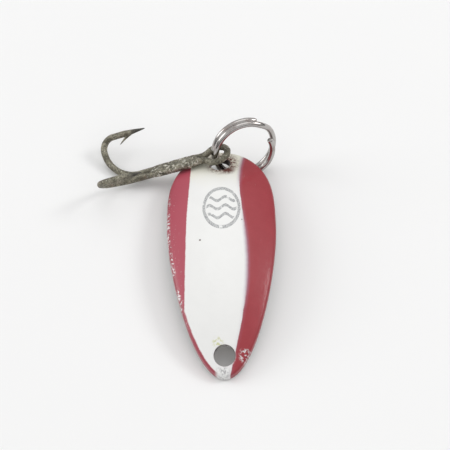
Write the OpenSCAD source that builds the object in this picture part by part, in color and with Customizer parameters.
// Spoon lure: a curved, painted metal blade, a split ring through its rear hole and a double hook on the ring.
// Millimetres, +Z up, lying on the plane z = 0 with the blade's hollow side down.
// X runs across the blade, Y along it with the rear hole at +Y. The origin is under the middle of the bounding box.

/* [Blade] */
// Length over both ends, measured flat
blade_len = 37.2; // [37:0.1:37.6]
// Greatest width
blade_width = 15.9; // [15.7:0.1:16.2]
// Sheet thickness
blade_thickness = 1.2; // [1.1:0.05:1.25]
// Radius of the lengthwise curve, over the crown
blade_long_radius = 47; // [46:0.5:50]
// Radius of the crosswise curve, over the crown
blade_cross_radius = 16; // [15.5:0.25:17]
// Share of the length behind the widest place
blade_rear_share = 0.385; // [0.37:0.005:0.4]
// Diameter of the hole at each end
hole_d = 3; // [2.9:0.05:3.1]
// Distance of each hole's centre from its end
hole_inset = 2.7; // [2.6:0.05:2.8]

/* [Split ring] */
// Diameter of the ring's wire
ring_wire_d = 0.9; // [0.85:0.01:0.91]
// Radius of the coils, at the middle of the wire
ring_radius = 4.62; // [4.55:0.01:4.65]
// Distance between the middles of the two coils
ring_pitch = 0.93; // [0.93:0.01:0.95]
// How far the end of the front coil has drawn inwards
ring_end_draw = 0.8; // [0.4:0.05:0.9]

/* [Double hook] */
// Diameter of the hook's wire
hook_wire_d = 0.98; // [0.9:0.01:0.99]
// Straight length of the shank
shank_len = 9.83; // [9.6:0.05:10]
// Radius of the bend beside the shank
bend_radius = 4.67; // [4.5:0.05:4.75]
// Radius of the bend beside the point
heel_radius = 1.87; // [1.75:0.05:1.95]
// Straight length from the bend to the point
leg_len = 5.1; // [4.8:0.1:5.4]
// Length of the tapered point
point_len = 3.1; // [2.8:0.1:3.2]
// Angle between the two points, seen along the shank
prong_spread = 94; // [90:1:98]
// Radius of the eye, at the middle of the wire
eye_radius = 1.68; // [1.66:0.01:1.72]

/* [Braze] */
// Length of the brazed sleeve along the shank
braze_len = 7.4; // [6:0.2:8.6]
// Thickness of the braze outside the wires
braze_wall = 0.12; // [0.1:0.01:0.13]

/* [Hidden] */
$fn = 96;
fine = 180;
wire_fn = 48;
outline_steps = 36;

// The blade's place: its crown at mid length, and its pitch, roll and yaw in degrees
crown_at = [-0.476, -7.63, 5.977];
blade_turn = [2.58, -1.44, 1.2];
// The ring's centre, its lean from the ground and its turn about Z
ring_at = [2.93, 10.36, 5];
ring_lean = 71.6;
ring_yaw = 18.6;
// The hook's eye sits on the ring at this angle round it, and hangs slack from it by this much
eye_angle = 176.5;
eye_slack = 0.25;
// The shank's dip below the horizontal, its heading and its roll about itself
hook_dip = 19.1;
hook_yaw = 5.4;
hook_roll = 17.5;
// Moves everything so that the origin is under the middle of the bounding box
to_origin = [5.606, 5.719, 0.001];

blade_front_len = blade_len * (1 - blade_rear_share);
blade_rear_len = blade_len * blade_rear_share;
rear_fullness = 2 / 3.6;
front_fullness = 2 / 1.5;
blade_depth = 9;
band_angle = 60;

ring_wire_r = ring_wire_d / 2;
joggle_from = 12;
joggle_to = 59;
back_end = 61;
draw_from = 292;
front_end = 383;

hook_wire_r = hook_wire_d / 2;
shank_pitch = hook_wire_d + 0.03;
eye_fillet = 1.5;
eye_drop = sqrt(pow(eye_radius + eye_fillet, 2) - pow(shank_pitch / 2 + eye_fillet, 2));
eye_turn = atan2(eye_drop, shank_pitch / 2 + eye_fillet);
prong_gap = bend_radius + heel_radius;
heel_z = shank_len + bend_radius - heel_radius;
point_z = heel_z - leg_len;
point_tip_r = 0.06;
barb_thickness = 0.4;
braze_gap = 0.01;
// The braze starts this far down the shank from the crotch of the eye
braze_from = 0.7;
// A ball this much over the wire's radius closes each place where two bends meet
ball_extra = 0.02;

// Places

function turn_z(a, p) = [p[0] * cos(a) - p[1] * sin(a), p[0] * sin(a) + p[1] * cos(a), p[2]];

function ring_to_rest(p) =
    ring_at + turn_z(ring_yaw, [p[0], p[1] * cos(ring_lean) - p[2] * sin(ring_lean),
        p[1] * sin(ring_lean) + p[2] * cos(ring_lean)]);

function shank_dir() = turn_z(hook_yaw, [-cos(hook_dip), 0, -sin(hook_dip)]);

function eye_at() =
    ring_to_rest([ring_radius * cos(eye_angle), ring_radius * sin(eye_angle), 0]) - eye_slack * shank_dir();

module place_blade() {
    translate(to_origin + crown_at)
        rotate(blade_turn)
            children();
}

module place_ring() {
    translate(to_origin + ring_at)
        rotate([ring_lean, 0, ring_yaw])
            children();
}

// Shank along +Z from the crotch of the eye, points to +X, first prong's wire on the +Y side
module place_hook() {
    translate(to_origin + eye_at() + eye_drop * shank_dir())
        rotate([0, -(90 + hook_dip), hook_yaw])
            rotate([0, 0, hook_roll])
                children();
}

// Blade

function half_outline(t) =
    t < 90
        ? [blade_width / 2 * cos(90 - t), -blade_front_len * pow(sin(90 - t), front_fullness)]
        : [blade_width / 2 * cos(t - 90), blade_rear_len * pow(sin(t - 90), rear_fullness)];

function mid_shift() = [0, (blade_front_len - blade_rear_len) / 2];

module blade_outline() {
    right = [for (i = [0 : outline_steps]) half_outline(180 * i / outline_steps) + mid_shift()];
    left = [for (i = [outline_steps - 1 : -1 : 1]) [-right[i][0], right[i][1]]];
    polygon(concat(right, left));
}

module blade_band() {
    translate([0, 0, -blade_long_radius])
        rotate([0, -90, 0])
            rotate_extrude(angle = band_angle, start = -band_angle / 2, $fn = fine)
                intersection() {
                    translate([blade_long_radius - blade_cross_radius, 0])
                        difference() {
                            circle(r = blade_cross_radius, $fn = fine);
                            circle(r = blade_cross_radius - blade_thickness, $fn = fine);
                        }
                    translate([blade_long_radius - blade_depth, -blade_width])
                        square([2 * blade_depth, 2 * blade_width]);
                }
}

// A hole square to the sheet, at y along the blade
module sheet_hole(y) {
    translate([0, 0, -blade_long_radius])
        rotate([-asin(y / blade_long_radius), 0, 0])
            translate([0, 0, blade_long_radius - 2 * blade_thickness])
                cylinder(d = hole_d, h = 3 * blade_thickness);
}

module blade() {
    color([0.93, 0.93, 0.92])
        place_blade()
            difference() {
                intersection() {
                    translate([0, 0, -blade_depth])
                        linear_extrude(height = 2 * blade_depth)
                            blade_outline();
                    blade_band();
                }
                sheet_hole(blade_len / 2 - hole_inset);
                sheet_hole(hole_inset - blade_len / 2);
            }
}

// Split ring

module wire_arc(radius, from, to, wire_r) {
    rotate_extrude(angle = to - from, start = from, $fn = fine)
        translate([radius, 0])
            circle(r = wire_r, $fn = wire_fn);
}

module ball_at(radius, angle, wire_r) {
    translate([radius * cos(angle), radius * sin(angle), 0])
        sphere(r = wire_r + ball_extra, $fn = wire_fn);
}

module split_ring() {
    joggle_mid = (joggle_from + joggle_to) / 2;
    joggle_half_chord = ring_radius * sin((joggle_to - joggle_from) / 2);
    joggle_radius = sqrt(pow(ring_radius, 2) + pow(ring_pitch / 2, 2));
    joggle_tilt = atan2(ring_pitch / 2, joggle_half_chord);
    joggle_half = asin(sqrt(pow(joggle_half_chord, 2) + pow(ring_pitch / 2, 2)) / joggle_radius);
    draw = ring_end_draw / (1 - cos(front_end - draw_from));
    color([0.72, 0.73, 0.75])
        place_ring() {
            // back coil
            translate([0, 0, -ring_pitch / 2]) {
                wire_arc(ring_radius, back_end, 360 + joggle_from, ring_wire_r);
                ball_at(ring_radius, joggle_from, ring_wire_r);
            }
            // step from the back coil to the front coil
            rotate([0, 0, joggle_mid])
                rotate([joggle_tilt, 0, 0])
                    wire_arc(joggle_radius, -joggle_half, joggle_half, ring_wire_r);
            // front coil, drawn inwards towards its end
            translate([0, 0, ring_pitch / 2]) {
                ball_at(ring_radius, joggle_to, ring_wire_r);
                wire_arc(ring_radius, joggle_to, draw_from, ring_wire_r);
                ball_at(ring_radius, draw_from, ring_wire_r);
                translate([draw * cos(draw_from), draw * sin(draw_from), 0])
                    wire_arc(ring_radius - draw, draw_from, front_end, ring_wire_r);
            }
        }
}

// Double hook

module prong() {
    cylinder(r = hook_wire_r, h = shank_len, $fn = wire_fn);
    translate([bend_radius, 0, shank_len])
        rotate([90, 0, 0])
            wire_arc(bend_radius, 90, 180, hook_wire_r);
    translate([bend_radius, 0, heel_z])
        rotate([90, 0, 0])
            wire_arc(heel_radius, 0, 90, hook_wire_r);
    translate([prong_gap, 0, point_z + point_len])
        cylinder(r = hook_wire_r, h = leg_len - point_len, $fn = wire_fn);
    translate([prong_gap, 0, point_z])
        cylinder(r1 = point_tip_r, r2 = hook_wire_r, h = point_len, $fn = wire_fn);
    barb();
}

// A sliver cut from the inner side of the wire and raised towards the gap
module barb() {
    inner = prong_gap - hook_wire_r;
    translate([0, barb_thickness / 2, 0])
        rotate([90, 0, 0])
            linear_extrude(height = barb_thickness)
                polygon([
                    [inner + 0.3, point_z + point_len - 0.6],
                    [inner + 0.25, point_z + point_len + 0.5],
                    [inner - 0.5, point_z + point_len + 1.3]
                ]);
}

module hook_eye() {
    for (turn = [0, 180])
        rotate([0, 0, turn])
            translate([0, shank_pitch / 2 + eye_fillet, 0])
                rotate([90, 0, 90])
                    wire_arc(eye_fillet, 180, 180 + eye_turn, hook_wire_r);
    translate([0, 0, -eye_drop])
        rotate([90, 0, 90]) {
            wire_arc(eye_radius, 180 - eye_turn, 360 + eye_turn, hook_wire_r);
            ball_at(eye_radius, 180 - eye_turn, hook_wire_r);
            ball_at(eye_radius, eye_turn, hook_wire_r);
        }
}

module double_hook() {
    color([0.5, 0.49, 0.42])
        place_hook() {
            for (side = [-1, 1])
                translate([0, side * shank_pitch / 2, 0])
                    rotate([0, 0, side * prong_spread / 2])
                        prong();
            hook_eye();
        }
}

// Braze around the two wires of the shank

module shank_braze() {
    color([0.58, 0.57, 0.5])
        place_hook()
            translate([0, 0, braze_from])
                linear_extrude(height = braze_len - braze_from)
                    difference() {
                        union() {
                            for (side = [-1, 1])
                                translate([0, side * shank_pitch / 2])
                                    circle(r = hook_wire_r + braze_wall, $fn = wire_fn);
                            square([2 * (hook_wire_r + braze_wall), shank_pitch], center = true);
                        }
                        for (side = [-1, 1])
                            translate([0, side * shank_pitch / 2])
                                circle(r = hook_wire_r + braze_gap, $fn = wire_fn);
                    }
}

blade();
split_ring();
double_hook();
shank_braze();
